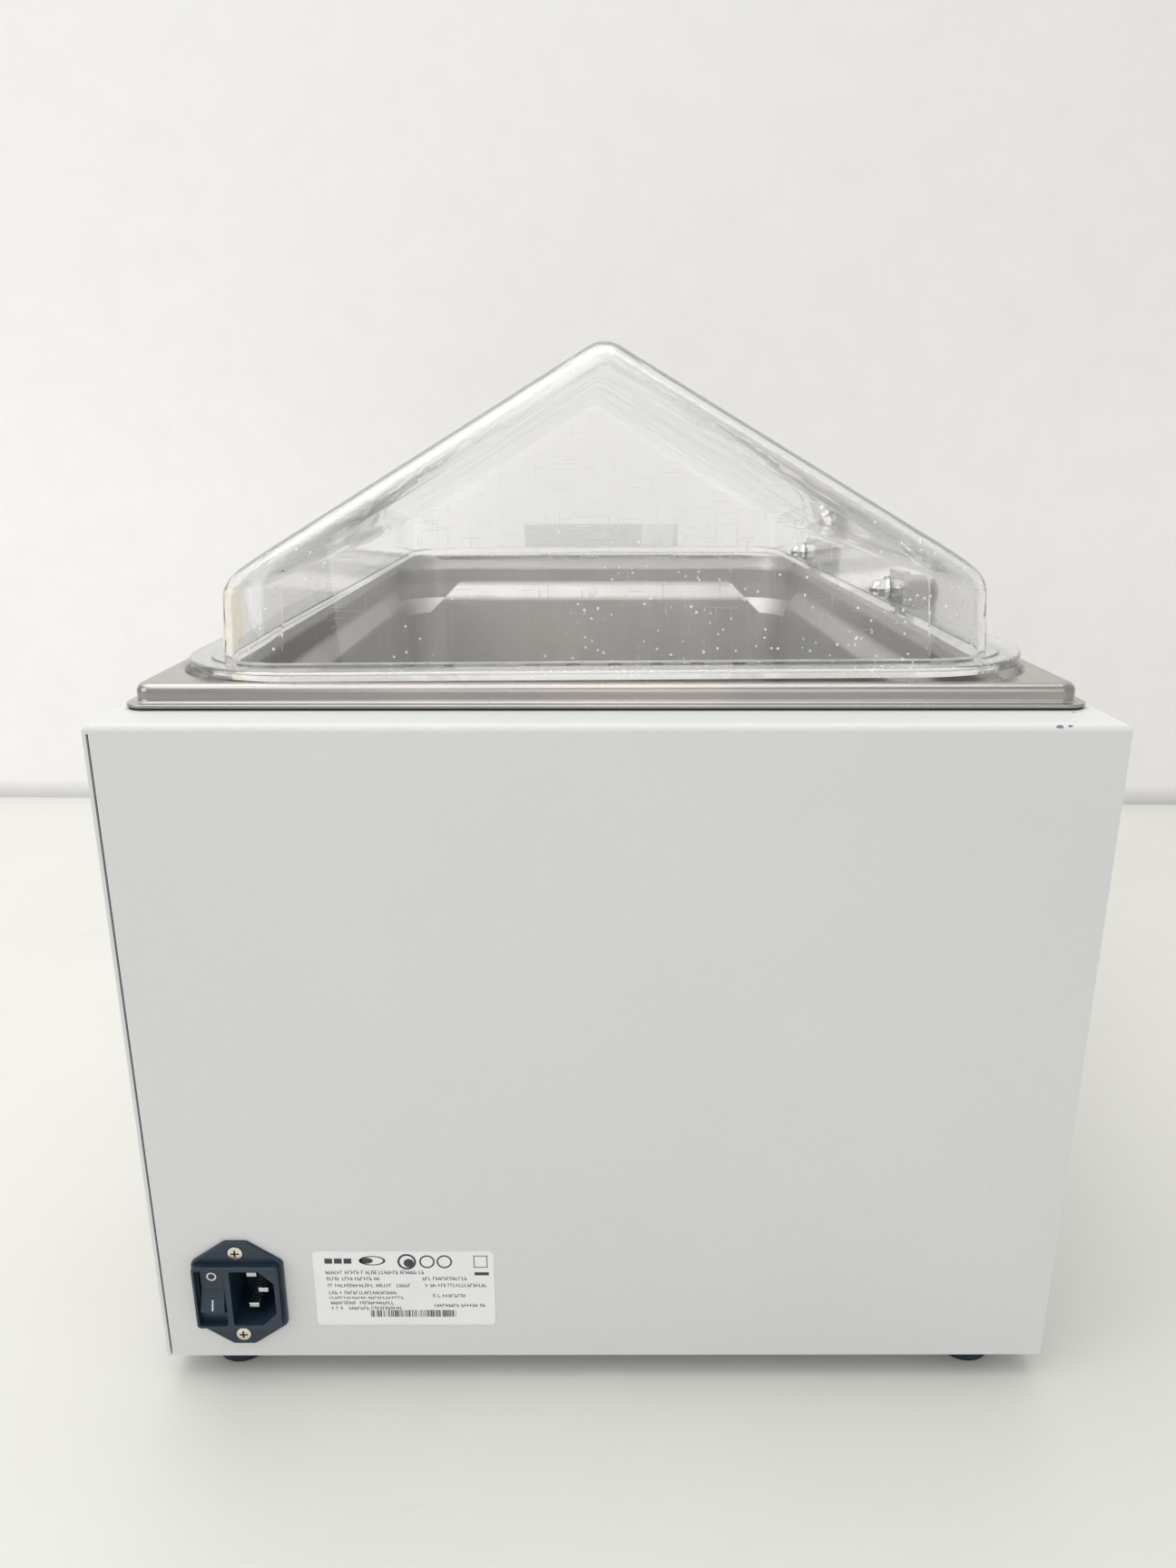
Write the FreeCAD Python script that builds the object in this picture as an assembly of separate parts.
import FreeCAD, Part
import math
import os
from FreeCAD import Vector, Rotation, Placement

# A 26 litre bench-top water bath: a folded steel case on rubber feet, a deep-drawn
# stainless tank that drops through the top, a clear gabled lid on two side hinges,
# a mains inlet with a rocker at the rear, controls and a drain tap at the front.
# Millimetres.  +Z is up, the controls face -Y, the mains inlet faces +Y.
# Everything is drawn about the middle of the case and moved at export, so that the
# origin is the middle of the whole footprint, tap and inlet included.

os.makedirs("parts", exist_ok=True)

# ---- overall sizes -------------------------------------------------------------
CASE_W = 338.0
CASE_L = 575.0
CASE_H = 251.0
FOOT_H = 11.0
SHEET = 1.2
SEAM_GAP = 0.8
BEND_R = 2.6

X_OUT = CASE_W / 2.0
Y_REAR = CASE_L / 2.0
Y_FRONT = -CASE_L / 2.0
Z_BASE = FOOT_H
Z_TOP = FOOT_H + CASE_H

# ---- tank (gastronorm 1/1, 200 deep) -------------------------------------------
RIM_MARGIN = 19.4
LIP_W = 329.0
LIP_L = 535.0
LIP_R = 8.0
LIP_T = 1.0
RIM_W = 322.4
RIM_L = 528.4
RIM_R = 6.0
RIM_H = 8.5
GASKET_T = 1.0
TANK_T = 1.0
DECK_R = 3.0
BOWL_W = 302.0
BOWL_L = 507.0
BOWL_R = 32.0
MOUTH_R = 4.0
FLARE = 4.0
FLARE_DROP = 12.0
LEDGE_DROP = 24.0
LEDGE_STEP = 6.0
LEDGE_H = 11.0
LEDGE_SOFT = 7.0
POCKET_X = 42.0
POCKET_Y = 60.0
TANK_DEPTH = 200.0
FLOOR_R = 18.0

Z_LIP = Z_TOP + GASKET_T
Z_DECK = Z_TOP + RIM_H
Z_FLOOR = Z_DECK - TANK_DEPTH
Y_TANK = Y_REAR - RIM_MARGIN - LIP_L / 2.0

# ---- drain ---------------------------------------------------------------------
TAP_X = 110.0
TAP_Z = 43.0
OUTLET_Y = -186.0
PIPE_R = 8.0
PIPE_BORE = 6.0
PIPE_BEND = 16.0
VALVE_Y = -304.0
VALVE_R = 11.0
BALL_R = 7.5
BALL_BORE = 4.0
STEM_R = 2.5
NOZZLE_END = -334.0
LEVER_LENGTH = 34.0

# ---- mains inlet ---------------------------------------------------------------
INLET_X = 138.0
INLET_Z = FOOT_H + 30.3
INLET_W = 34.4
INLET_SHOULDER = 28.2
INLET_TIP = 4.6
INLET_FLANGE_T = 1.6
INLET_T = 4.2
INLET_SCREW = 18.5
BEZEL_X = (-15.7, 16.5)
BEZEL_H = 27.8
SOCKET_X = -5.95
SOCKET_W = 16.5
SOCKET_H = 24.4
SOCKET_DEEP = 18.5
WELL_W = 11.0
WELL_H = 25.0
WELL_DEEP = 2.6
ROCKER_X = 9.9
ROCKER_UP = 2.0
ROCKER_W = 9.2
ROCKER_H = 20.0
ROCKER_TILT = 8.5

# ---- lid -----------------------------------------------------------------------
FLANGE_W = 312.0
FLANGE_L = 524.0
FLANGE_R = 49.0
FLANGE_T = 3.2
WALL_W = 284.0
WALL_L = 498.0
WALL_R = 28.0
WALL_H = 29.5
WALL_DRAFT = 1.5
LID_T = 3.0
ROOF_SLOPE = 0.59
GABLE_LEAN = 14.5
EDGE_R = 11.0
LID_LIFT = 2.2

# ---- hinges --------------------------------------------------------------------
HINGE_YS = (97.5, -112.5)
PIVOT_X = -157.5
PIVOT_UP = 12.5
PIN_R = 2.0
EAR_IN = 8.0
EAR_T = 1.5
KNUCKLE_HALF = 7.6
KNUCKLE_R = 5.6
BOLT_R = 2.5
STRAP_Y = (11.2, 12.7)
STRAP_X = (-146.0, -144.5)

# ---- control panel -------------------------------------------------------------
PANEL_X0 = -152.0
PANEL_X1 = 62.0
PANEL_Z0 = 26.0
PANEL_Z1 = 84.0
PANEL_T = 1.5
PANEL_Z = (PANEL_Z0 + PANEL_Z1) / 2.0
WINDOW_X = -108.0
WINDOW_W = 58.0
WINDOW_H = 26.0
KEY_NAMES = ("key_menu", "key_down", "key_up", "key_start")
KEY_X0 = -46.0
KEY_PITCH = 26.0
KEY_R = 7.0
KEY_PROUD = 1.0
LAMP_X = -68.0

# ---- feet ----------------------------------------------------------------------
FOOT_X = 145.0
FOOT_Y = Y_REAR - 17.5
FOOT_R_TOP = 12.0
FOOT_R_FLOOR = 10.0

FRONT_REACH = NOZZLE_END
REAR_REACH = Y_REAR + INLET_T
FOOTPRINT_SHIFT = -(FRONT_REACH + REAR_REACH) / 2.0


# ---- shape helpers -------------------------------------------------------------
def box(x0, x1, y0, y1, z0, z1):
    return Part.makeBox(x1 - x0, y1 - y0, z1 - z0, Vector(x0, y0, z0))


def rod(radius, start, end):
    a = Vector(*start)
    b = Vector(*end)
    return Part.makeCylinder(radius, (b - a).Length, a, b - a)


def cone(r0, r1, start, end):
    a = Vector(*start)
    b = Vector(*end)
    return Part.makeCone(r0, r1, (b - a).Length, a, b - a)


def prism(points, direction):
    wire = Part.makePolygon([Vector(*p) for p in points] + [Vector(*points[0])])
    return Part.Face(wire).extrude(Vector(*direction))


def plate_xz(points, y0, y1):
    return prism([(x, y0, z) for x, z in points], (0, y1 - y0, 0))


def plate_yz(points, x0, x1):
    return prism([(x0, y, z) for y, z in points], (x1 - x0, 0, 0))


def ring_wire(width, length, radius, z, cx=0.0, cy=0.0):
    # Rounded rectangle, walked the same way round every time so that lofts match.
    hw = width / 2.0
    hl = length / 2.0
    k = radius * (1.0 - math.sqrt(0.5))
    edges = []
    corners = (
        ((hw - radius, hl), (hw - k, hl - k), (hw, hl - radius)),
        ((hw, -hl + radius), (hw - k, -hl + k), (hw - radius, -hl)),
        ((-hw + radius, -hl), (-hw + k, -hl + k), (-hw, -hl + radius)),
        ((-hw, hl - radius), (-hw + k, hl - k), (-hw + radius, hl)),
    )
    last = None
    first = None
    for start, mid, end in corners:
        a = Vector(cx + start[0], cy + start[1], z)
        m = Vector(cx + mid[0], cy + mid[1], z)
        b = Vector(cx + end[0], cy + end[1], z)
        if last is not None:
            edges.append(Part.makeLine(last, a))
        else:
            first = a
        edges.append(Part.Arc(a, m, b).toShape())
        last = b
    edges.append(Part.makeLine(last, first))
    return Part.Wire(edges)


def slab(width, length, radius, z0, z1, cx=0.0, cy=0.0):
    face = Part.Face(ring_wire(width, length, radius, z0, cx, cy))
    return face.extrude(Vector(0, 0, z1 - z0))


def taper(lower, upper, cx=0.0, cy=0.0):
    # lower and upper are (width, length, radius, z)
    wires = [ring_wire(s[0], s[1], s[2], s[3], cx, cy) for s in (lower, upper)]
    return Part.makeLoft(wires, True, True)


def rounded_xz(width, height, radius, cx, cz, y0, y1):
    body = slab(width, height, radius, 0.0, y1 - y0)
    body.rotate(Vector(0, 0, 0), Vector(1, 0, 0), 90)
    body.translate(Vector(cx, y1, cz))
    return body


def hexagon(across, start, end):
    a = Vector(*start)
    b = Vector(*end)
    r = across / math.sqrt(3.0)
    pts = []
    for i in range(6):
        t = math.radians(60 * i + 30)
        pts.append(Vector(r * math.cos(t), r * math.sin(t), 0))
    body = Part.Face(Part.makePolygon(pts + [pts[0]])).extrude(Vector(0, 0, (b - a).Length))
    body.Placement = Placement(a, Rotation(Vector(0, 0, 1), b - a))
    return body


def join(shapes):
    result = shapes[0]
    for other in shapes[1:]:
        result = result.fuse(other)
    return result.removeSplitter()


def cut(shape, tools):
    for tool in tools:
        shape = shape.cut(tool)
    return shape


def edges_at_z(shape, z):
    found = []
    for edge in shape.Edges:
        b = edge.BoundBox
        if abs(b.ZMin - z) < 0.01 and abs(b.ZMax - z) < 0.01:
            found.append(edge)
    return found


def edges_on(shape, wire):
    # The edges whose middle lies on the given outline.
    found = []
    for edge in shape.Edges:
        mid = edge.valueAt((edge.FirstParameter + edge.LastParameter) / 2.0)
        if Part.Vertex(mid).distToShape(wire)[0] < 0.02:
            found.append(edge)
    return found


def save(name, shapes):
    if not isinstance(shapes, (list, tuple)):
        shapes = [shapes]
    moved = []
    for shape in shapes:
        for solid in shape.Solids:
            piece = solid.copy()
            piece.translate(Vector(0, FOOTPRINT_SHIFT, 0))
            moved.append(piece)
    result = moved[0] if len(moved) == 1 else Part.makeCompound(moved)
    result.exportStep(os.path.join("parts", name + ".step"))


def feet_places():
    return [(sx * FOOT_X, sy * FOOT_Y) for sx in (-1, 1) for sy in (-1, 1)]


def key_places():
    return [KEY_X0 + KEY_PITCH * i for i in range(len(KEY_NAMES))]


# ---- case shell: top and four walls folded from one sheet ------------------------
RETURN_W = 30.0
RETURN_X = X_OUT - SHEET - SEAM_GAP - 0.5
TOP_HOLE_W = 313.0
TOP_HOLE_L = 519.0
TOP_HOLE_R = 32.0
HOLE_EASE = 0.3


def folded_box(inset):
    x = X_OUT - inset
    y = Y_REAR - inset
    body = box(-x, x, -y, y, Z_BASE - inset, Z_TOP - inset)
    return body.makeFillet(BEND_R - inset, edges_at_z(body, Z_TOP - inset))


def corner_slits():
    # Open corners of the folded sheet.  On the +X side the end walls stop short of the
    # side wall; on the -X side the side wall stops short of the end walls.
    top = Z_TOP - BEND_R - 0.5
    x_right = X_OUT - SHEET
    tools = []
    for end in (-1, 1):
        y_in = Y_REAR - SHEET
        ys = sorted((end * (y_in - 0.05), end * (Y_REAR + 1.0)))
        tools.append(box(x_right - SEAM_GAP, x_right, ys[0], ys[1], Z_BASE - 1, top))
        ys = sorted((end * (y_in - SEAM_GAP), end * y_in))
        tools.append(box(-X_OUT - 1, 0.05 - x_right, ys[0], ys[1], Z_BASE - 1, top))
    return tools


def inlet_outline(grow):
    half = INLET_W / 2.0 + grow
    shoulder = INLET_SHOULDER / 2.0
    tip = INLET_SCREW + INLET_TIP + grow
    side = 4.2 + grow
    return [
        (INLET_X - half, INLET_Z - shoulder),
        (INLET_X - side, INLET_Z - tip),
        (INLET_X + side, INLET_Z - tip),
        (INLET_X + half, INLET_Z - shoulder),
        (INLET_X + half, INLET_Z + shoulder),
        (INLET_X + side, INLET_Z + tip),
        (INLET_X - side, INLET_Z + tip),
        (INLET_X - half, INLET_Z + shoulder),
    ]


INLET_BODY_W = 32.0
INLET_BODY_H = 27.6
INLET_BODY_DEEP = 31.0


def make_shell():
    shell = folded_box(0.0).cut(folded_box(SHEET))
    for side in (-1, 1):
        ys = sorted((side * (Y_REAR - SHEET), side * (Y_REAR - RETURN_W)))
        shell = shell.fuse(box(-RETURN_X, RETURN_X, ys[0], ys[1], Z_BASE, Z_BASE + SHEET))
    shell = shell.removeSplitter()
    tools = corner_slits()
    tools.append(slab(TOP_HOLE_W, TOP_HOLE_L, TOP_HOLE_R, Z_TOP - 5, Z_TOP + 5, 0, Y_TANK))
    half_w = INLET_BODY_W / 2.0 + HOLE_EASE
    half_h = INLET_BODY_H / 2.0 + HOLE_EASE
    tools.append(box(INLET_X - half_w, INLET_X + half_w, Y_REAR - 5, Y_REAR + 5,
                     INLET_Z - half_h, INLET_Z + half_h))
    for side in (-1, 1):
        z = INLET_Z + side * INLET_SCREW
        tools.append(rod(1.7, (INLET_X, Y_REAR - 5, z), (INLET_X, Y_REAR + 5, z)))
    tools.append(rounded_xz(WINDOW_W - 4, WINDOW_H - 4, 2.0, WINDOW_X, PANEL_Z,
                            Y_FRONT - 5, Y_FRONT + 5))
    for x in key_places():
        tools.append(rod(KEY_R + 0.4, (x, Y_FRONT - 5, PANEL_Z), (x, Y_FRONT + 5, PANEL_Z)))
    tools.append(rod(2.6, (LAMP_X, Y_FRONT - 5, PANEL_Z), (LAMP_X, Y_FRONT + 5, PANEL_Z)))
    tools.append(rod(PIPE_R + HOLE_EASE, (TAP_X, Y_FRONT - 5, TAP_Z), (TAP_X, Y_FRONT + 5, TAP_Z)))
    for x, y in feet_places():
        tools.append(rod(2.1, (x, y, Z_BASE - 2), (x, y, Z_BASE + 5)))
    for x, y in base_screw_places():
        tools.append(rod(1.7, (x, y, Z_BASE - 2), (x, y, Z_BASE + 5)))
    return cut(shell, tools)


BASE_SCREW_X = 90.0


def base_screw_places():
    return [(sx * BASE_SCREW_X, sy * FOOT_Y) for sx in (-1, 1) for sy in (-1, 1)]


# ---- base plate with vent slots -------------------------------------------------
SLOT_L = 46.0
SLOT_W = 4.0
SLOT_PITCH = 12.0


def make_base():
    z0 = Z_BASE + SHEET
    plate = box(-X_OUT + SHEET + 0.4, X_OUT - SHEET - 0.4, Y_FRONT + SHEET, Y_REAR - SHEET,
                z0, z0 + SHEET)
    tools = []
    for cx in (-70.0, 70.0):
        for i in range(9):
            y = -60.0 + SLOT_PITCH * i
            tools.append(slab(SLOT_L, SLOT_W, SLOT_W / 2.0 - 0.01, z0 - 2, z0 + 4, cx, y))
    for x, y in feet_places():
        tools.append(rod(2.1, (x, y, z0 - 2), (x, y, z0 + 4)))
    for x, y in base_screw_places():
        tools.append(rod(1.5, (x, y, z0 - 2), (x, y, z0 + 4)))
    return cut(plate, tools)


# ---- feet ------------------------------------------------------------------------
FOOT_BORE = 2.1
FOOT_POCKET_R = 4.6
FOOT_POCKET = 5.0


def make_feet():
    solids = []
    for x, y in feet_places():
        body = cone(FOOT_R_FLOOR, FOOT_R_TOP, (x, y, 0), (x, y, FOOT_H))
        low = [e for e in body.Edges if e.BoundBox.ZMax < 0.01 and e.BoundBox.XLength > 1]
        body = body.makeFillet(1.2, low)
        body = body.cut(rod(FOOT_BORE, (x, y, -1), (x, y, FOOT_H + 1)))
        body = body.cut(rod(FOOT_POCKET_R, (x, y, -1), (x, y, FOOT_POCKET)))
        solids.append(body)
    return solids


def pan_screw(x, y, z_head, z_end, r_head, r_shank, head_h):
    # Head below, shank upwards, cross recess in the head.
    head = rod(r_head, (x, y, z_head), (x, y, z_head + head_h))
    rim = [e for e in head.Edges if e.BoundBox.ZMax < z_head + 0.01 and e.BoundBox.XLength > 1]
    head = head.makeFillet(head_h * 0.55, rim)
    shank = rod(r_shank, (x, y, z_head + head_h), (x, y, z_end))
    body = join([head, shank])
    arm = r_head * 0.55
    slot = r_head * 0.13
    depth = head_h * 0.5
    body = body.cut(box(x - arm, x + arm, y - slot, y + slot, z_head - 1, z_head + depth))
    return body.cut(box(x - slot, x + slot, y - arm, y + arm, z_head - 1, z_head + depth))


def make_foot_screws():
    return [pan_screw(x, y, 2.4, 19.0, 3.8, 2.0, 2.6) for x, y in feet_places()]


def make_foot_nuts():
    solids = []
    z0 = Z_BASE + 2 * SHEET
    for x, y in feet_places():
        nut = hexagon(7.0, (x, y, z0), (x, y, z0 + 3.2))
        solids.append(nut.cut(rod(2.0, (x, y, z0 - 1), (x, y, z0 + 5))))
    return solids


def make_base_screws():
    return [pan_screw(x, y, Z_BASE - 2.0, 20.0, 3.0, 1.5, 2.0) for x, y in base_screw_places()]


# ---- rim gasket --------------------------------------------------------------------
def make_gasket():
    outer = slab(LIP_W - 1.0, LIP_L - 1.0, LIP_R - 0.5, Z_TOP, Z_LIP, 0, Y_TANK)
    return outer.cut(slab(LIP_W - 11.0, LIP_L - 11.0, 4.0, Z_TOP - 1, Z_LIP + 1, 0, Y_TANK))


# ---- tank ----------------------------------------------------------------------------
OUTLET_R = 9.0


def well_part(grow, drop, height):
    # One length of the well from `drop` below the deck: straight lower walls, then the
    # sloping ledge, then the wider neck.  grow 0 is the inside face, TANK_T the outside.
    neck = (BOWL_W + 2 * grow, BOWL_L + 2 * grow, BOWL_R + grow)
    low = (neck[0] - 2 * LEDGE_STEP, neck[1] - 2 * LEDGE_STEP, neck[2] - LEDGE_STEP)
    z_ledge = Z_DECK - drop
    z_low = z_ledge - LEDGE_H
    slope = taper((*low, z_low), (*neck, z_ledge), 0, Y_TANK)
    upper = slab(neck[0], neck[1], neck[2], z_ledge, z_ledge + height, 0, Y_TANK)
    return low, z_low, slope, upper


def corner_blocks(grow):
    # Wedges over the four corners, where the ledge sits lower; their inner faces lean
    # at 45 degrees, so the ledge runs down into each corner.
    lean = grow * math.sqrt(2.0)
    out = 9.0
    blocks = []
    for sx in (-1, 1):
        for sy in (-1, 1):
            wires = []
            for dz in (-26.0, 8.0):
                x_in = sx * (BOWL_W / 2.0 - POCKET_X - dz - lean)
                y_in = Y_TANK + sy * (BOWL_L / 2.0 - POCKET_Y - dz - lean)
                x_out = sx * (BOWL_W / 2.0 + out)
                y_out = Y_TANK + sy * (BOWL_L / 2.0 + out)
                z = Z_DECK - LEDGE_DROP + dz
                points = [(x_in, y_in), (x_out, y_in), (x_out, y_out), (x_in, y_out)]
                corners = [Vector(px, py, z) for px, py in points]
                wires.append(Part.makePolygon(corners + [corners[0]]))
            blocks.append(Part.makeLoft(wires, True, True))
    return Part.makeCompound(blocks)


def bowl(grow):
    low, z_low, slope, upper = well_part(grow, LEDGE_DROP, LEDGE_DROP - FLARE_DROP)
    lower = slab(low[0], low[1], low[2], Z_FLOOR - grow, z_low, 0, Y_TANK)
    lower = lower.makeFillet(FLOOR_R + grow, edges_at_z(lower, Z_FLOOR - grow))
    neck = (BOWL_W + 2 * grow, BOWL_L + 2 * grow, BOWL_R + grow, Z_DECK - FLARE_DROP)
    mouth = (neck[0] + 2 * FLARE, neck[1] + 2 * FLARE, neck[2] + FLARE, Z_DECK)
    body = join([lower, slope, upper, taper(neck, mouth, 0, Y_TANK)])
    soft_in = LEDGE_SOFT - grow
    soft_out = LEDGE_SOFT + grow
    body = body.makeFillet(soft_in, edges_at_z(body, z_low))
    body = body.makeFillet(soft_out, edges_at_z(body, Z_DECK - LEDGE_DROP))
    body = body.makeFillet(soft_out, edges_at_z(body, Z_DECK - FLARE_DROP))
    pocket = well_part(grow, LEDGE_DROP + LEDGE_H, LEDGE_H + 8.0)
    deep = join([pocket[2], pocket[3]]).common(corner_blocks(grow))
    return join([body, deep])


def make_tank():
    lip = slab(LIP_W, LIP_L, LIP_R, Z_LIP, Z_LIP + LIP_T, 0, Y_TANK)
    frame = slab(RIM_W, RIM_L, RIM_R, Z_LIP, Z_DECK, 0, Y_TANK)
    frame = frame.makeFillet(DECK_R, edges_at_z(frame, Z_DECK))
    rim = join([lip, frame])
    z_lip_top = Z_LIP + LIP_T
    rim = rim.makeFillet(1.4, edges_on(rim, ring_wire(RIM_W, RIM_L, RIM_R, z_lip_top, 0, Y_TANK)))
    rim = rim.makeFillet(0.45, edges_on(rim, ring_wire(LIP_W, LIP_L, LIP_R, z_lip_top, 0, Y_TANK)))
    under = slab(RIM_W - 2 * TANK_T, RIM_L - 2 * TANK_T, RIM_R - TANK_T,
                 Z_LIP - 1, Z_DECK - TANK_T, 0, Y_TANK)
    under = under.makeFillet(DECK_R - TANK_T, edges_at_z(under, Z_DECK - TANK_T))
    rim = rim.cut(under)
    body = rim.fuse(bowl(TANK_T)).removeSplitter()
    mouth = (BOWL_W + 2 * FLARE, BOWL_L + 2 * FLARE, BOWL_R + FLARE)
    inside = bowl(0.0).fuse(slab(mouth[0], mouth[1], mouth[2], Z_DECK, Z_DECK + 5, 0, Y_TANK))
    body = body.cut(inside)
    body = body.makeFillet(MOUTH_R, edges_on(body, ring_wire(*mouth, Z_DECK, 0, Y_TANK)))
    return body.cut(rod(OUTLET_R, (TAP_X, OUTLET_Y, Z_FLOOR - 5), (TAP_X, OUTLET_Y, Z_FLOOR + 5)))


# ---- insulation, heater and sensors --------------------------------------------------
FOAM_T = 11.0
FOAM_Z0 = 92.0
FOAM_Z1 = 222.0


def make_foam():
    w = BOWL_W + 2 * TANK_T - 2 * LEDGE_STEP + 0.6
    length = BOWL_L + 2 * TANK_T - 2 * LEDGE_STEP + 0.6
    outer = slab(w + 2 * FOAM_T, length + 2 * FOAM_T, 34.0, FOAM_Z0, FOAM_Z1 - 0.5, 0, Y_TANK)
    radius = BOWL_R + TANK_T - LEDGE_STEP + 0.3
    return outer.cut(slab(w, length, radius, FOAM_Z0 - 1, FOAM_Z1, 0, Y_TANK))


MAT_T = 1.6
SPREADER_T = 1.5
MAT_W = 108.0
MAT_L = 340.0


def make_mats():
    z1 = Z_FLOOR - TANK_T
    return [slab(MAT_W, MAT_L, 6.0, z1 - MAT_T, z1, x, 30.0) for x in (-62.0, 62.0)]


def make_spreader():
    z1 = Z_FLOOR - TANK_T - MAT_T
    body = slab(250.0, 360.0, 8.0, z1 - SPREADER_T, z1, 0, 30.0)
    hole = rod(14.0, (0, 30.0, z1 - 5), (0, 30.0, z1 + 5))
    return body.cut(hole)


def make_cutout():
    z1 = Z_FLOOR - TANK_T
    can = rod(8.0, (0, 30.0, z1 - 7.0), (0, 30.0, z1))
    tabs = [box(x - 3.15, x + 3.15, 29.6, 30.4, z1 - 17.0, z1 - 6.5) for x in (-4.6, 4.6)]
    return join([can] + tabs)


def make_probe():
    z1 = Z_FLOOR - TANK_T
    tube = rod(2.5, (0, -160.0, z1 - 2.5), (0, -205.0, z1 - 2.5))
    saddle = box(-7.0, 7.0, -186.0, -176.0, z1 - 6.0, z1)
    return join([tube, saddle])


# ---- drain ---------------------------------------------------------------------------
def make_outlet():
    z = Z_FLOOR
    collar = rod(14.0, (TAP_X, OUTLET_Y, z), (TAP_X, OUTLET_Y, z + 1.4))
    neck = rod(OUTLET_R, (TAP_X, OUTLET_Y, z - 13.0), (TAP_X, OUTLET_Y, z + 0.5))
    flange = hexagon(24.0, (TAP_X, OUTLET_Y, z - 5.5), (TAP_X, OUTLET_Y, z - TANK_T))
    body = join([collar, neck, flange])
    return body.cut(rod(PIPE_BORE, (TAP_X, OUTLET_Y, z - 20), (TAP_X, OUTLET_Y, z + 5)))


def make_pipe():
    # Down from the tank, round a bend and forward through the front panel.
    z_top = Z_FLOOR - 13.0
    z_arc = TAP_Z + PIPE_BEND
    if z_arc > z_top:
        z_arc = z_top
    bend = z_arc - TAP_Z
    y_arc = OUTLET_Y - bend
    pieces = []
    for radius in (PIPE_R, PIPE_BORE):
        profile = Part.Wire(Part.makeCircle(radius, Vector(TAP_X, OUTLET_Y, z_arc), Vector(0, 0, 1)))
        face = Part.Face(profile)
        elbow = face.revolve(Vector(TAP_X, y_arc, z_arc), Vector(1, 0, 0), -90)
        run = rod(radius, (TAP_X, y_arc, TAP_Z), (TAP_X, Y_FRONT - 6.0, TAP_Z))
        pieces.append(elbow.fuse(run))
    return pieces[0].cut(pieces[1]).removeSplitter()


def make_lock_nut():
    y0 = Y_FRONT + SHEET
    nut = hexagon(24.0, (TAP_X, y0, TAP_Z), (TAP_X, y0 + 6.0, TAP_Z))
    return nut.cut(rod(PIPE_R, (TAP_X, y0 - 2, TAP_Z), (TAP_X, y0 + 9, TAP_Z)))


def make_valve():
    hexa = hexagon(25.0, (TAP_X, Y_FRONT - 7.0, TAP_Z), (TAP_X, Y_FRONT, TAP_Z))
    barrel = rod(VALVE_R, (TAP_X, VALVE_Y - 9.5, TAP_Z), (TAP_X, Y_FRONT - 6.0, TAP_Z))
    boss = rod(6.5, (TAP_X, VALVE_Y, TAP_Z), (TAP_X, VALVE_Y, TAP_Z + 15.0))
    body = join([hexa, barrel, boss])
    rims = []
    for edge in body.Edges:
        b = edge.BoundBox
        if b.YMax < VALVE_Y - 9.4 and b.XLength > 20:
            rims.append(edge)
    body = body.makeFillet(1.5, rims)
    tools = [
        rod(PIPE_R, (TAP_X, Y_FRONT - 6.0, TAP_Z), (TAP_X, Y_FRONT + 2.0, TAP_Z)),
        rod(BALL_BORE, (TAP_X, VALVE_Y - 12.0, TAP_Z), (TAP_X, Y_FRONT, TAP_Z)),
        Part.makeSphere(BALL_R + 0.3, Vector(TAP_X, VALVE_Y, TAP_Z)),
        rod(STEM_R + 0.06, (TAP_X, VALVE_Y, TAP_Z), (TAP_X, VALVE_Y, TAP_Z + 20.0)),
    ]
    return cut(body, tools)


def make_nozzle():
    y0 = VALVE_Y - 9.5
    solids = [rod(5.0, (TAP_X, y0, TAP_Z), (TAP_X, NOZZLE_END, TAP_Z))]
    solids.append(hexagon(14.0, (TAP_X, y0, TAP_Z), (TAP_X, y0 - 3.5, TAP_Z)))
    for i in range(4):
        y = NOZZLE_END + 4.0 * i
        solids.append(cone(5.0, 6.2, (TAP_X, y, TAP_Z), (TAP_X, y + 3.4, TAP_Z)))
    body = join(solids)
    return body.cut(rod(BALL_BORE, (TAP_X, NOZZLE_END - 2, TAP_Z), (TAP_X, y0 + 2, TAP_Z)))


def make_ball():
    # Shut at rest: the bore lies across the pipe.
    ball = Part.makeSphere(BALL_R, Vector(TAP_X, VALVE_Y, TAP_Z))
    ball = ball.cut(rod(BALL_BORE, (TAP_X - 12, VALVE_Y, TAP_Z), (TAP_X + 12, VALVE_Y, TAP_Z)))
    stem = rod(STEM_R, (TAP_X, VALVE_Y, TAP_Z + BALL_R - 1.5), (TAP_X, VALVE_Y, TAP_Z + 23.5))
    return join([ball, stem])


def make_lever():
    z0 = TAP_Z + 16.0
    grip = slab(LEVER_LENGTH - 6.0, 9.0, 4.4, z0, z0 + 3.0, TAP_X - LEVER_LENGTH / 2.0 - 3.0, VALVE_Y)
    hub = rod(7.0, (TAP_X, VALVE_Y, z0), (TAP_X, VALVE_Y, z0 + 3.0))
    root = box(TAP_X - 14.0, TAP_X, VALVE_Y - 3.6, VALVE_Y + 3.6, z0, z0 + 3.0)
    body = join([grip, hub, root])
    top = [e for e in body.Edges if e.BoundBox.ZMin > z0 + 2.99]
    body = body.makeFillet(0.8, top)
    return body.cut(rod(STEM_R, (TAP_X, VALVE_Y, z0 - 1), (TAP_X, VALVE_Y, z0 + 5)))


def make_lever_nut():
    z0 = TAP_Z + 19.0
    nut = hexagon(8.0, (TAP_X, VALVE_Y, z0), (TAP_X, VALVE_Y, z0 + 3.6))
    return nut.cut(rod(STEM_R, (TAP_X, VALVE_Y, z0 - 1), (TAP_X, VALVE_Y, z0 + 5)))


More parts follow.
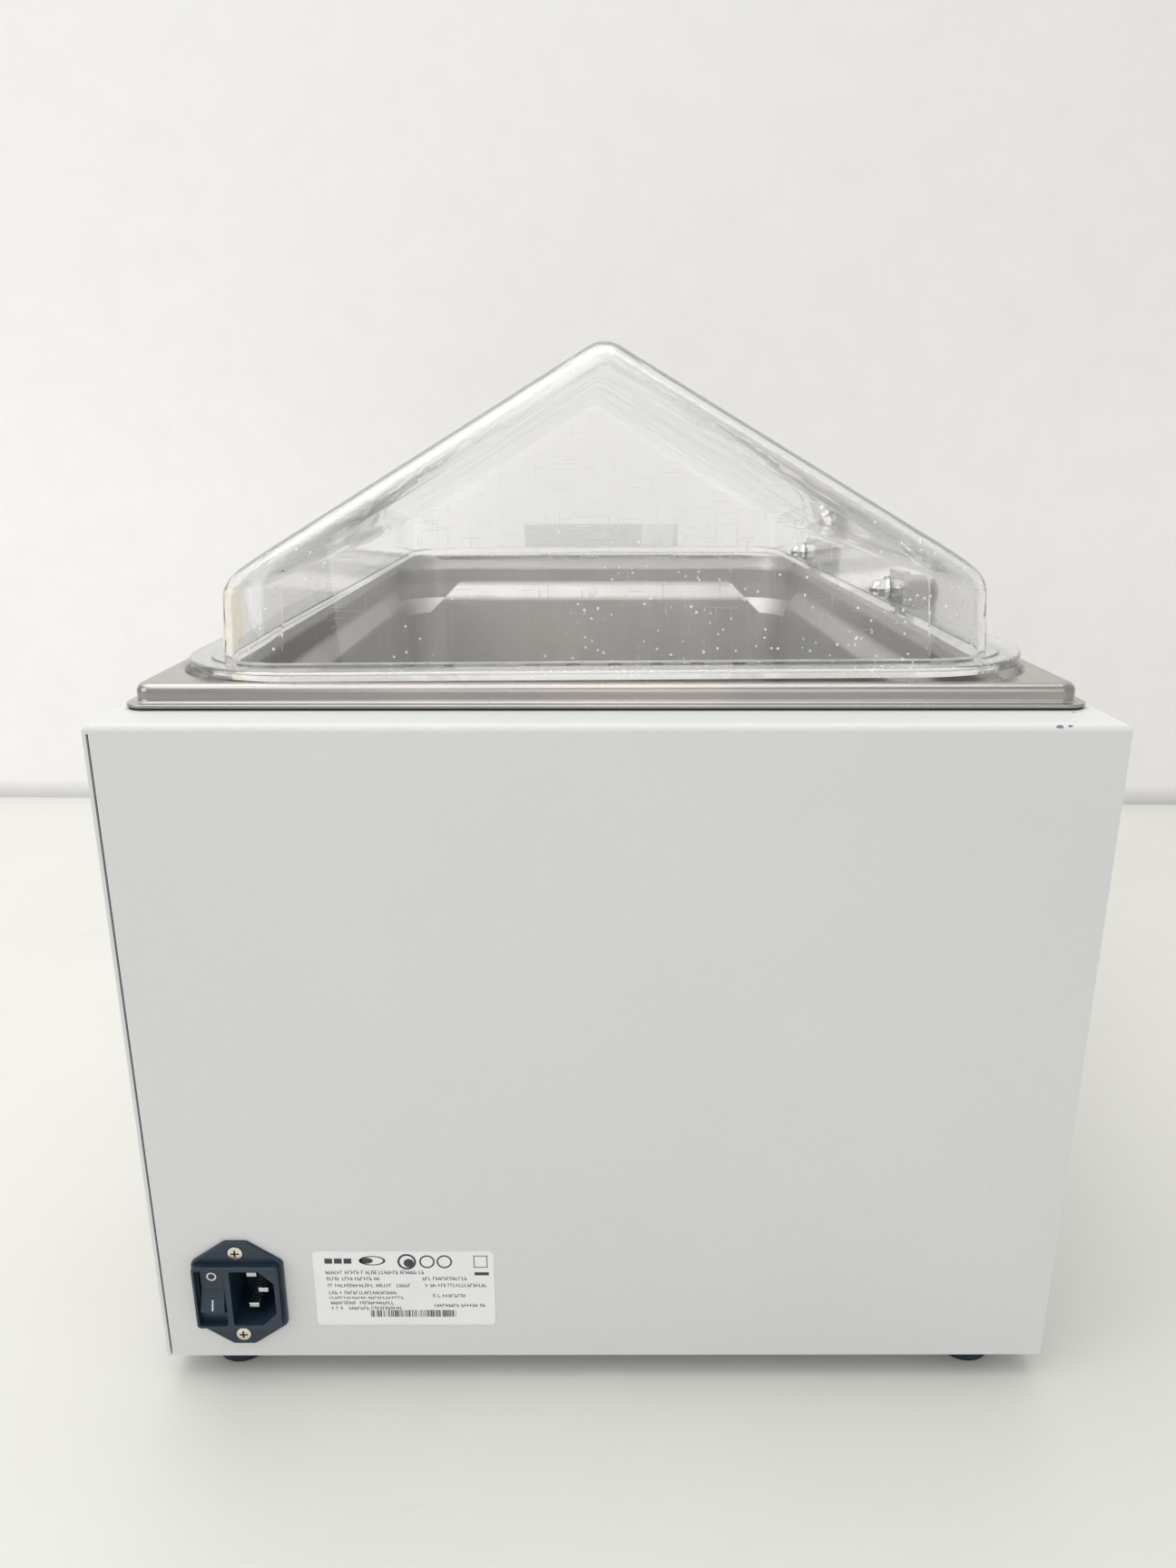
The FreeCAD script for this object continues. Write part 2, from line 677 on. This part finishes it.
# ---- mains inlet with rocker ------------------------------------------------------------
PIN_RECESS = 4.6
PIN_PITCH = 7.0
EARTH_OUT = 4.0
SOCKET_BEVEL = 5.5


def socket_outline():
    # The two corners on the earth side are cut off.
    x0 = INLET_X + SOCKET_X - SOCKET_W / 2.0
    x1 = INLET_X + SOCKET_X + SOCKET_W / 2.0
    z0 = INLET_Z - SOCKET_H / 2.0
    z1 = INLET_Z + SOCKET_H / 2.0
    return [(x1, z0), (x1, z1), (x0 + SOCKET_BEVEL, z1), (x0, z1 - SOCKET_BEVEL),
            (x0, z0 + SOCKET_BEVEL), (x0 + SOCKET_BEVEL, z0)]


def make_inlet():
    plate_y = Y_REAR + INLET_FLANGE_T
    face_y = Y_REAR + INLET_T
    flange = plate_xz(inlet_outline(0.0), Y_REAR, plate_y)
    corners = [e for e in flange.Edges if e.BoundBox.YLength > INLET_FLANGE_T - 0.1]
    flange = flange.makeFillet(2.6, corners)
    rim = [e for e in flange.Edges if e.BoundBox.YMin > plate_y - 0.01]
    flange = flange.makeFillet(0.5, rim)
    bezel = box(INLET_X + BEZEL_X[0], INLET_X + BEZEL_X[1], Y_REAR + 0.2, face_y,
                INLET_Z - BEZEL_H / 2.0, INLET_Z + BEZEL_H / 2.0)
    corners = [e for e in bezel.Edges if e.BoundBox.YLength > INLET_T - 0.3]
    bezel = bezel.makeFillet(1.6, corners)
    rim = [e for e in bezel.Edges if e.BoundBox.YMin > face_y - 0.01]
    bezel = bezel.makeFillet(0.6, rim)
    body = box(INLET_X - INLET_BODY_W / 2.0, INLET_X + INLET_BODY_W / 2.0,
               Y_REAR - INLET_BODY_DEEP, Y_REAR + 0.5,
               INLET_Z - INLET_BODY_H / 2.0, INLET_Z + INLET_BODY_H / 2.0)
    shape = join([flange, bezel, body])
    socket = plate_xz(socket_outline(), face_y - SOCKET_DEEP, face_y + 5)
    upright = [e for e in socket.Edges if e.BoundBox.YLength > SOCKET_DEEP]
    tools = [socket.makeFillet(0.8, upright)]
    rx = INLET_X + ROCKER_X
    rz = INLET_Z + ROCKER_UP
    tools.append(rounded_xz(WELL_W, WELL_H, 1.2, rx, INLET_Z, face_y - WELL_DEEP, face_y + 5))
    tools.append(box(rx - ROCKER_W / 2.0 - 0.35, rx + ROCKER_W / 2.0 + 0.35,
                     face_y - 16.5, face_y + 5,
                     rz - ROCKER_H / 2.0 - 0.5, rz + ROCKER_H / 2.0 + 0.5))
    for side in (-1, 1):
        z = INLET_Z + side * INLET_SCREW
        tools.append(rod(1.7, (INLET_X, Y_REAR - 1, z), (INLET_X, plate_y + 1, z)))
        tools.append(cone(1.7, 3.1, (INLET_X, plate_y - 1.5, z), (INLET_X, plate_y, z)))
    return cut(shape, tools)


def make_pins():
    face_y = Y_REAR + INLET_T
    y0 = face_y - SOCKET_DEEP
    y1 = face_y - PIN_RECESS
    x = INLET_X + SOCKET_X + 1.5
    places = [(x, INLET_Z - PIN_PITCH), (x, INLET_Z + PIN_PITCH), (x - EARTH_OUT, INLET_Z)]
    solids = []
    for px, pz in places:
        blade = box(px - 2.0, px + 2.0, y0, y1, pz - 1.0, pz + 1.0)
        tip = [e for e in blade.Edges if e.BoundBox.YMin > y1 - 0.01]
        solids.append(blade.makeFillet(0.4, tip))
    return solids


def make_inlet_screws():
    plate_y = Y_REAR + INLET_FLANGE_T
    solids = []
    for side in (-1, 1):
        z = INLET_Z + side * INLET_SCREW
        head = cone(1.5, 2.75, (INLET_X, plate_y - 1.4, z), (INLET_X, plate_y + 0.1, z))
        dome = Part.makeSphere(9.0, Vector(INLET_X, plate_y - 8.45, z))
        cap = rod(2.75, (INLET_X, plate_y + 0.05, z), (INLET_X, plate_y + 2, z)).common(dome)
        shank = rod(1.5, (INLET_X, plate_y - 11.0, z), (INLET_X, plate_y - 1.3, z))
        body = join([head, cap, shank])
        for wide, tall in ((1.6, 0.35), (0.35, 1.6)):
            body = body.cut(box(INLET_X - wide, INLET_X + wide, plate_y - 0.9, plate_y + 2,
                                z - tall, z + tall))
        solids.append(body)
    return solids


def rocker_pivot():
    return Vector(INLET_X + ROCKER_X, Y_REAR + INLET_T - 6.2, INLET_Z + ROCKER_UP)


def make_rocker():
    # A paddle dished about its middle, shown with its top half pressed in.
    p = rocker_pivot()
    half = ROCKER_H / 2.0 - 0.3
    rise = 3.4
    dish = 1.6
    outline = [
        (p.y - 4.0, p.z - half + 4.0),
        (p.y + rise - 1.0, p.z - half),
        (p.y + rise + dish, p.z - half + 0.6),
        (p.y + rise, p.z),
        (p.y + rise + dish, p.z + half - 0.6),
        (p.y + rise - 1.0, p.z + half),
        (p.y - 4.0, p.z + half - 4.0),
    ]
    body = plate_yz(outline, p.x - ROCKER_W / 2.0, p.x + ROCKER_W / 2.0)
    face_edges = []
    for edge in body.Edges:
        b = edge.BoundBox
        if b.YMin > p.y + rise - 1.2:
            if b.XLength > 1 and abs(edge.CenterOfMass.z - p.z) < 1:
                continue
            face_edges.append(edge)
    body = body.makeFillet(0.5, face_edges)
    body.rotate(p, Vector(1, 0, 0), ROCKER_TILT)
    return cut(body, make_rocker_marks())


def make_rocker_marks():
    # An open ring above and a bar below: the usual off and on marks.
    p = rocker_pivot()
    lift = 3.4 + 0.8
    y0 = p.y + lift - 0.9
    y1 = p.y + lift + 0.12
    ring = rod(1.7, (p.x, y0, p.z + 5.4), (p.x, y1, p.z + 5.4))
    ring = ring.cut(rod(1.2, (p.x, y0 - 1, p.z + 5.4), (p.x, y1 + 1, p.z + 5.4)))
    bar = box(p.x - 0.28, p.x + 0.28, y0, y1, p.z - 7.2, p.z - 3.6)
    solids = []
    for solid, sign in ((ring, 1.0), (bar, -1.0)):
        solid.rotate(Vector(p.x, p.y + lift, p.z + sign * 5.4), Vector(1, 0, 0), sign * 8.6)
        solid.rotate(p, Vector(1, 0, 0), ROCKER_TILT)
        solids.append(solid)
    return solids


def make_rating_label():
    return rounded_xz(68.0, 33.4, 1.6, 75.7, FOOT_H + 31.4, Y_REAR, Y_REAR + 0.15)


# ---- lid ---------------------------------------------------------------------------------
def peak_height():
    # The roof planes meet the drafted side walls at WALL_H.
    return WALL_H + (WALL_W / 2.0 - WALL_DRAFT) * ROOF_SLOPE


def lid_block(inset, z_foot):
    # The raised part of the lid as one solid; inset moves every face inwards.  Walls
    # with a little draft, cut by the two roof planes, then every top edge rounded.
    slope = math.atan(ROOF_SLOPE)
    peak = peak_height() - inset / math.cos(slope)
    z_over = peak + 10.0
    side_in = z_over * WALL_DRAFT / WALL_H
    end_in = z_over * GABLE_LEAN / peak_height()
    foot = (WALL_W - 2 * inset, WALL_L - 2 * inset, WALL_R - inset, 0.0)
    over = (foot[0] - 2 * side_in, foot[1] - 2 * end_in, WALL_R - inset, z_over)
    walls = taper(foot, over)
    if z_foot < 0:
        walls = walls.fuse(slab(foot[0], foot[1], foot[2], z_foot, 0.0)).removeSplitter()
    reach = WALL_W
    roof = prism([(-reach, -WALL_L, peak - reach * ROOF_SLOPE), (0, -WALL_L, peak),
                  (reach, -WALL_L, peak - reach * ROOF_SLOPE), (reach, -WALL_L, z_foot),
                  (-reach, -WALL_L, z_foot)], (0, 2 * WALL_L, 0))
    body = walls.common(roof)
    top = []
    for edge in body.Edges:
        mid = edge.valueAt((edge.FirstParameter + edge.LastParameter) / 2.0)
        if abs(mid.z - (peak - abs(mid.x) * ROOF_SLOPE)) < 0.01:
            top.append(edge)
    return body.makeFillet(EDGE_R - inset, top)


def seat_lid(shape):
    # Drawn flat with the flange's underside at zero; set on the hinge side a little
    # high and turned about the pivot until the free edge meets the rim.
    shape = shape.copy()
    shape.translate(Vector(0, Y_TANK, Z_DECK + LID_LIFT))
    reach = FLANGE_W / 2.0 - PIVOT_X
    angle = math.degrees(math.asin((LID_LIFT - 0.06) / reach))
    shape.rotate(Vector(PIVOT_X, 0, Z_DECK + PIVOT_UP), Vector(0, 1, 0), angle)
    return shape


def make_lid():
    flange = slab(FLANGE_W, FLANGE_L, FLANGE_R, 0, FLANGE_T)
    rims = [e for e in flange.Edges if e.BoundBox.ZMin > FLANGE_T - 0.01]
    flange = flange.makeFillet(1.0, rims)
    bead = taper((WALL_W + 9.0, WALL_L + 9.0, WALL_R + 4.5, FLANGE_T - 0.5),
                 (WALL_W + 7.4, WALL_L + 7.4, WALL_R + 3.7, FLANGE_T + 0.8))
    body = join([flange, bead, lid_block(0.0, 0.0)])
    body = body.cut(lid_block(LID_T, -0.001))
    for y in HINGE_YS:
        z = PIVOT_UP - LID_LIFT + 0.5
        body = body.cut(rod(BOLT_R + 0.15, (-WALL_W / 2.0 - 4, y - Y_TANK, z),
                            (-WALL_W / 2.0 + 8, y - Y_TANK, z)))
    return seat_lid(body)


def make_lid_label():
    skin = lid_block(-0.25, 0.0).cut(lid_block(0.0, 0.0))
    patch = box(-65.0, 55.0, -WALL_L, 0, 4.2, 21.8)
    return seat_lid(skin.common(patch))


# ---- hinges -------------------------------------------------------------------------------
# Side view of a strap's cheek, as x and height above the deck.
STRAP = [(-144.5, 6.5), (-153.0, 6.0), (-156.5, 6.0), (-157.0, 3.4), (-159.5, 3.4),
         (-160.0, 6.0), (-161.5, 11.0), (-159.5, 16.0), (-153.0, 19.5), (-144.5, 21.0)]


def strap_shape(y):
    # A bent channel round each knuckle, drawn in the lid's own flat position.
    yl = y - Y_TANK
    low = min(z for x, z in STRAP[:2]) - LID_LIFT
    high = max(z for x, z in STRAP) - LID_LIFT
    web = box(STRAP_X[0], STRAP_X[1], yl - STRAP_Y[1], yl + STRAP_Y[1], low + 0.5, high)
    cheeks = []
    for side in (-1, 1):
        ys = sorted((yl + side * STRAP_Y[0], yl + side * STRAP_Y[1]))
        cheeks.append(plate_xz([(x, z - LID_LIFT) for x, z in STRAP], ys[0], ys[1]))
    return join([web] + cheeks)


def make_straps():
    solids = []
    z = PIVOT_UP - LID_LIFT + 0.5
    for y in HINGE_YS:
        bore = rod(BOLT_R, (STRAP_X[0] - 2, y - Y_TANK, z), (STRAP_X[1] + 2, y - Y_TANK, z))
        solids.append(seat_lid(strap_shape(y).cut(bore)))
    return solids


def make_knuckles():
    solids = []
    z = PIVOT_UP - LID_LIFT
    skin = lid_block(0.0, 0.0)
    for y in HINGE_YS:
        y0 = y - Y_TANK - KNUCKLE_HALF
        y1 = y - Y_TANK + KNUCKLE_HALF
        eye = rod(KNUCKLE_R, (PIVOT_X, y0, z), (PIVOT_X, y1, z))
        arm = box(PIVOT_X, -WALL_W / 2.0 + 4, y0, y1, z - 5.6, z + KNUCKLE_R)
        body = join([eye, arm])
        body = body.cut(rod(PIN_R + 0.06, (PIVOT_X, y0 - 1, z), (PIVOT_X, y1 + 1, z)))
        body = body.cut(skin).cut(strap_shape(y))
        body = body.cut(rod(BOLT_R, (PIVOT_X + 5.2, y - Y_TANK, z + 0.5),
                            (-WALL_W / 2.0 + 9, y - Y_TANK, z + 0.5)))
        solids.append(seat_lid(body))
    return solids


DOME_X = -WALL_W / 2.0 + LID_T + 1.0


def make_hinge_studs():
    solids = []
    z = PIVOT_UP - LID_LIFT + 0.5
    for y in HINGE_YS:
        stud = rod(BOLT_R, (PIVOT_X + 5.2, y - Y_TANK, z), (DOME_X + 6.0, y - Y_TANK, z))
        solids.append(seat_lid(stud))
    return solids


def make_dome_nuts():
    solids = []
    z = PIVOT_UP - LID_LIFT + 0.5
    for y in HINGE_YS:
        yl = y - Y_TANK
        washer = rod(5.5, (DOME_X, yl, z), (DOME_X + 1.0, yl, z))
        nut = hexagon(8.0, (DOME_X + 1.0, yl, z), (DOME_X + 4.6, yl, z))
        dome = Part.makeSphere(3.9, Vector(DOME_X + 4.6, yl, z))
        dome = dome.common(box(DOME_X + 4.0, DOME_X + 12, yl - 6, yl + 6, z - 6, z + 6))
        body = join([washer, nut, dome])
        body = body.cut(rod(BOLT_R, (DOME_X - 3, yl, z), (DOME_X + 6.0, yl, z)))
        solids.append(seat_lid(body))
    return solids


EAR = [(-162.7, -4.6), (-161.2, -4.6), (-161.2, 0.6), (-158.6, 0.6), (-158.0, 6.2),
       (-154.2, 6.6), (-151.2, 12.5), (-154.2, 18.4), (-160.8, 18.4), (-164.2, 12.5),
       (-162.7, 6.2)]


def make_brackets():
    solids = []
    for y in HINGE_YS:
        web = box(-162.7, -161.2, y - EAR_IN - EAR_T, y + EAR_IN + EAR_T,
                  Z_DECK - 4.6, Z_DECK + 3.0)
        ears = []
        for side in (-1, 1):
            a = y + side * EAR_IN
            b = y + side * (EAR_IN + EAR_T)
            points = [(x, Z_DECK + z) for x, z in EAR]
            ears.append(plate_xz(points, min(a, b), max(a, b)))
        body = join([web] + ears)
        solids.append(body.cut(rod(PIN_R, (PIVOT_X, y - 20, Z_DECK + PIVOT_UP),
                                   (PIVOT_X, y + 20, Z_DECK + PIVOT_UP))))
    return solids


def make_hinge_pins():
    solids = []
    z = Z_DECK + PIVOT_UP
    out = EAR_IN + EAR_T
    for y in HINGE_YS:
        shaft = rod(PIN_R, (PIVOT_X, y - out - 1.0, z), (PIVOT_X, y + out + 1.0, z))
        heads = []
        for side in (-1, 1):
            head = rod(3.3, (PIVOT_X, y + side * out, z), (PIVOT_X, y + side * (out + 1.4), z))
            far = []
            for edge in head.Edges:
                b = edge.BoundBox
                if abs(b.YMin - (y + side * (out + 1.4))) < 0.01 and b.YLength < 0.01:
                    far.append(edge)
            heads.append(head.makeFillet(0.9, far))
        solids.append(join([shaft] + heads))
    return solids


# ---- base tray ------------------------------------------------------------------------------
TRAY_W = 280.0
TRAY_L = 484.0
TRAY_UP = 24.0
TRAY_T = 1.2
TRAY_R = 24.0
HOLE_PITCH = 32.0
HOLE_R = 5.5


def make_tray():
    z1 = Z_FLOOR + TRAY_UP
    body = slab(TRAY_W, TRAY_L, TRAY_R, Z_FLOOR + 9.0, z1, 0, Y_TANK)
    body = body.makeFillet(3.0, edges_at_z(body, z1))
    hollow = slab(TRAY_W - 2 * TRAY_T, TRAY_L - 2 * TRAY_T, TRAY_R - TRAY_T, Z_FLOOR, z1 - TRAY_T,
                  0, Y_TANK)
    hollow = hollow.makeFillet(3.0 - TRAY_T, edges_at_z(hollow, z1 - TRAY_T))
    body = body.cut(hollow)
    for ends in ((-TRAY_W, TRAY_W, Y_TANK - TRAY_L / 2 + 60, Y_TANK + TRAY_L / 2 - 60),
                 (-TRAY_W / 2 + 50, TRAY_W / 2 - 50, Y_TANK - TRAY_L, Y_TANK + TRAY_L)):
        body = body.cut(box(ends[0], ends[1], ends[2], ends[3], Z_FLOOR, Z_FLOOR + 15.0))
    legs = []
    for sx in (-1, 1):
        for sy in (-1, 1):
            x = sx * (TRAY_W / 2 - 22)
            y = Y_TANK + sy * (TRAY_L / 2 - 22)
            legs.append(rod(4.0, (x, y, Z_FLOOR + 0.1), (x, y, z1 - 0.5)))
    body = join([body] + legs)
    holes = []
    for i in range(8):
        for j in range(14):
            x = (i - 3.5) * HOLE_PITCH
            y = Y_TANK + (j - 6.5) * HOLE_PITCH
            holes.append(rod(HOLE_R, (x, y, z1 - 4), (x, y, z1 + 2)))
    return body.cut(Part.makeCompound(holes))


# ---- control panel ----------------------------------------------------------------------------
def make_panel():
    y0 = Y_FRONT - PANEL_T
    cx = (PANEL_X0 + PANEL_X1) / 2.0
    body = rounded_xz(PANEL_X1 - PANEL_X0, PANEL_Z1 - PANEL_Z0, 6.0, cx, PANEL_Z, y0, Y_FRONT)
    rim = [e for e in body.Edges if e.BoundBox.YMax < y0 + 0.01]
    body = body.makeFillet(0.6, rim)
    tools = [rounded_xz(WINDOW_W, WINDOW_H, 3.0, WINDOW_X, PANEL_Z, y0 - 2, Y_FRONT + 1)]
    for x in key_places():
        tools.append(rod(KEY_R + 0.4, (x, y0 - 2, PANEL_Z), (x, Y_FRONT + 1, PANEL_Z)))
    tools.append(rod(2.6, (LAMP_X, y0 - 2, PANEL_Z), (LAMP_X, Y_FRONT + 1, PANEL_Z)))
    return cut(body, tools)


def make_window():
    return rounded_xz(WINDOW_W, WINDOW_H, 3.0, WINDOW_X, PANEL_Z, Y_FRONT - 1.2, Y_FRONT)


BOARD_Y = -281.0


def make_display():
    body = box(WINDOW_X - 25.0, WINDOW_X + 25.0, BOARD_Y - 5.2, BOARD_Y,
               PANEL_Z - 9.5, PANEL_Z + 9.5)
    return body


def make_digits():
    # Three seven-segment figures with every bar present, behind the window.
    solids = []
    y0 = BOARD_Y - 5.35
    y1 = BOARD_Y - 5.2
    for i in range(3):
        cx = WINDOW_X + (1 - i) * 15.0
        for dz in (-6.4, 0.0, 6.4):
            solids.append(box(cx - 2.9, cx + 2.9, y0, y1, PANEL_Z + dz - 0.7, PANEL_Z + dz + 0.7))
        for dx in (-3.9, 3.9):
            for dz in (-3.2, 3.2):
                solids.append(box(cx + dx - 0.7, cx + dx + 0.7, y0, y1,
                                  PANEL_Z + dz - 2.3, PANEL_Z + dz + 2.3))
    return solids


def make_board():
    body = box(-146.0, 56.0, BOARD_Y, BOARD_Y + 1.6, 30.0, 80.0)
    for x in (-142.0, 52.0):
        for z in (34.0, 76.0):
            body = body.cut(rod(1.6, (x, BOARD_Y - 1, z), (x, BOARD_Y + 3, z)))
    return body


def make_board_pillars():
    solids = []
    for x in (-142.0, 52.0):
        for z in (34.0, 76.0):
            post = rod(3.0, (x, Y_FRONT + SHEET, z), (x, BOARD_Y, z))
            tip = rod(1.6, (x, BOARD_Y - 0.5, z), (x, BOARD_Y + 4.0, z))
            solids.append(join([post, tip]))
    return solids


def make_tacts():
    solids = []
    for x in key_places():
        body = box(x - 3.0, x + 3.0, BOARD_Y - 1.4, BOARD_Y, PANEL_Z - 3.0, PANEL_Z + 3.0)
        plunger = rod(1.6, (x, BOARD_Y - 2.2, PANEL_Z), (x, BOARD_Y - 1.0, PANEL_Z))
        solids.append(join([body, plunger]))
    return solids


def make_key(x):
    y_out = Y_FRONT - PANEL_T - KEY_PROUD
    cap = rod(KEY_R, (x, y_out, PANEL_Z), (x, Y_FRONT + SHEET + 0.4, PANEL_Z))
    rim = []
    for edge in cap.Edges:
        b = edge.BoundBox
        if b.YMax < y_out + 0.01 and b.XLength > 1:
            rim.append(edge)
    cap = cap.makeFillet(0.7, rim)
    collar = rod(KEY_R + 1.4, (x, Y_FRONT + SHEET + 0.3, PANEL_Z), (x, Y_FRONT + SHEET + 1.3, PANEL_Z))
    stalk = rod(1.5, (x, Y_FRONT + SHEET + 1.0, PANEL_Z), (x, BOARD_Y - 3.4, PANEL_Z))
    dish = Part.makeSphere(60.0, Vector(x, y_out - 59.6, PANEL_Z))
    return join([cap, collar, stalk]).cut(dish)


def make_lamp():
    lens = rod(2.5, (LAMP_X, Y_FRONT - PANEL_T, PANEL_Z), (LAMP_X, Y_FRONT + 3.0, PANEL_Z))
    dome = Part.makeSphere(2.5, Vector(LAMP_X, Y_FRONT - PANEL_T, PANEL_Z))
    legs = [rod(0.3, (LAMP_X + dx, Y_FRONT + 3.0, PANEL_Z), (LAMP_X + dx, BOARD_Y, PANEL_Z))
            for dx in (-1.0, 1.0)]
    return join([lens, dome] + legs)


# ---- power electronics under the tank -------------------------------------------------------------
PB_X = 60.0
PB_Y = 190.0
PB_Z = 21.0


def make_power_board():
    board = box(PB_X - 50, PB_X + 50, PB_Y - 35, PB_Y + 35, PB_Z, PB_Z + 1.6)
    relay = box(PB_X - 42, PB_X - 13, PB_Y - 25, PB_Y - 12, PB_Z + 1.5, PB_Z + 17)
    cap = rod(6.5, (PB_X - 30, PB_Y + 8, PB_Z + 1.5), (PB_X - 30, PB_Y + 8, PB_Z + 22))
    body = join([board, relay, cap])
    for x in (PB_X - 45, PB_X + 45):
        for y in (PB_Y - 30, PB_Y + 30):
            body = body.cut(rod(1.6, (x, y, PB_Z - 1), (x, y, PB_Z + 3)))
    return body


def make_power_pillars():
    solids = []
    z0 = Z_BASE + 2 * SHEET
    for x in (PB_X - 45, PB_X + 45):
        for y in (PB_Y - 30, PB_Y + 30):
            post = rod(3.0, (x, y, z0), (x, y, PB_Z))
            tip = rod(1.6, (x, y, PB_Z - 0.5), (x, y, PB_Z + 4.0))
            solids.append(join([post, tip]))
    return solids


def make_transformer():
    z0 = PB_Z + 1.6
    x = PB_X + 20
    core = box(x - 20, x + 20, PB_Y - 8, PB_Y + 8, z0, z0 + 32)
    coil = box(x - 12, x + 12, PB_Y - 15, PB_Y + 15, z0 + 4, z0 + 28)
    coil = coil.makeFillet(3.0, [e for e in coil.Edges if e.BoundBox.ZLength > 10])
    return join([core, coil])


def make_heatsink():
    z0 = Z_BASE + 2 * SHEET
    body = box(-50, -10, 160, 220, z0, z0 + 4)
    fins = [box(-50 + 6.3 * i, -48 + 6.3 * i, 160, 220, z0 + 3, z0 + 26) for i in range(7)]
    return join([body] + fins)


def make_terminals():
    z0 = Z_BASE + 2 * SHEET
    body = box(-95, -50, 215, 235, z0, z0 + 16)
    for i in range(4):
        x = -89.0 + 11.2 * i
        body = body.cut(rod(2.2, (x, 225, z0 + 8), (x, 225, z0 + 20)))
    return body


def make_earth_stud():
    z0 = Z_BASE + 2 * SHEET
    stud = rod(2.0, (20, 255, z0), (20, 255, z0 + 14))
    nut = hexagon(7.0, (20, 255, z0), (20, 255, z0 + 3.2))
    return join([stud, nut])


# ---- write every piece -------------------------------------------------------------------------------
save("casing_shell", make_shell())
save("base_plate", make_base())
save("rubber_feet", make_feet())
save("foot_screws", make_foot_screws())
save("foot_nuts", make_foot_nuts())
save("base_screws", make_base_screws())
save("rim_gasket", make_gasket())
save("tank", make_tank())
save("tank_insulation", make_foam())
save("heater_mats", make_mats())
save("heat_spreader", make_spreader())
save("thermal_cutout", make_cutout())
save("temperature_probe", make_probe())
save("drain_outlet", make_outlet())
save("drain_pipe", make_pipe())
save("drain_lock_nut", make_lock_nut())
save("drain_valve_body", make_valve())
save("drain_nozzle", make_nozzle())
save("drain_ball", make_ball())
save("drain_lever", make_lever())
save("drain_lever_nut", make_lever_nut())
save("mains_inlet", make_inlet())
save("mains_pins", make_pins())
save("mains_screws", make_inlet_screws())
save("rocker_switch", make_rocker())
save("rocker_marks", make_rocker_marks())
save("rating_label", make_rating_label())
save("lid_shell", make_lid())
save("lid_label", make_lid_label())
save("hinge_knuckles", make_knuckles())
save("hinge_straps", make_straps())
save("hinge_studs", make_hinge_studs())
save("dome_nuts", make_dome_nuts())
save("hinge_brackets", make_brackets())
save("hinge_pins", make_hinge_pins())
save("base_tray", make_tray())
save("control_panel", make_panel())
save("display_window", make_window())
save("display_block", make_display())
save("display_digits", make_digits())
save("control_board", make_board())
save("board_pillars", make_board_pillars())
save("tact_switches", make_tacts())
for key_name, key_x in zip(KEY_NAMES, key_places()):
    save(key_name, make_key(key_x))
save("status_lamp", make_lamp())
save("power_board", make_power_board())
save("power_pillars", make_power_pillars())
save("transformer", make_transformer())
save("triac_heatsink", make_heatsink())
save("terminal_block", make_terminals())
save("earth_stud", make_earth_stud())
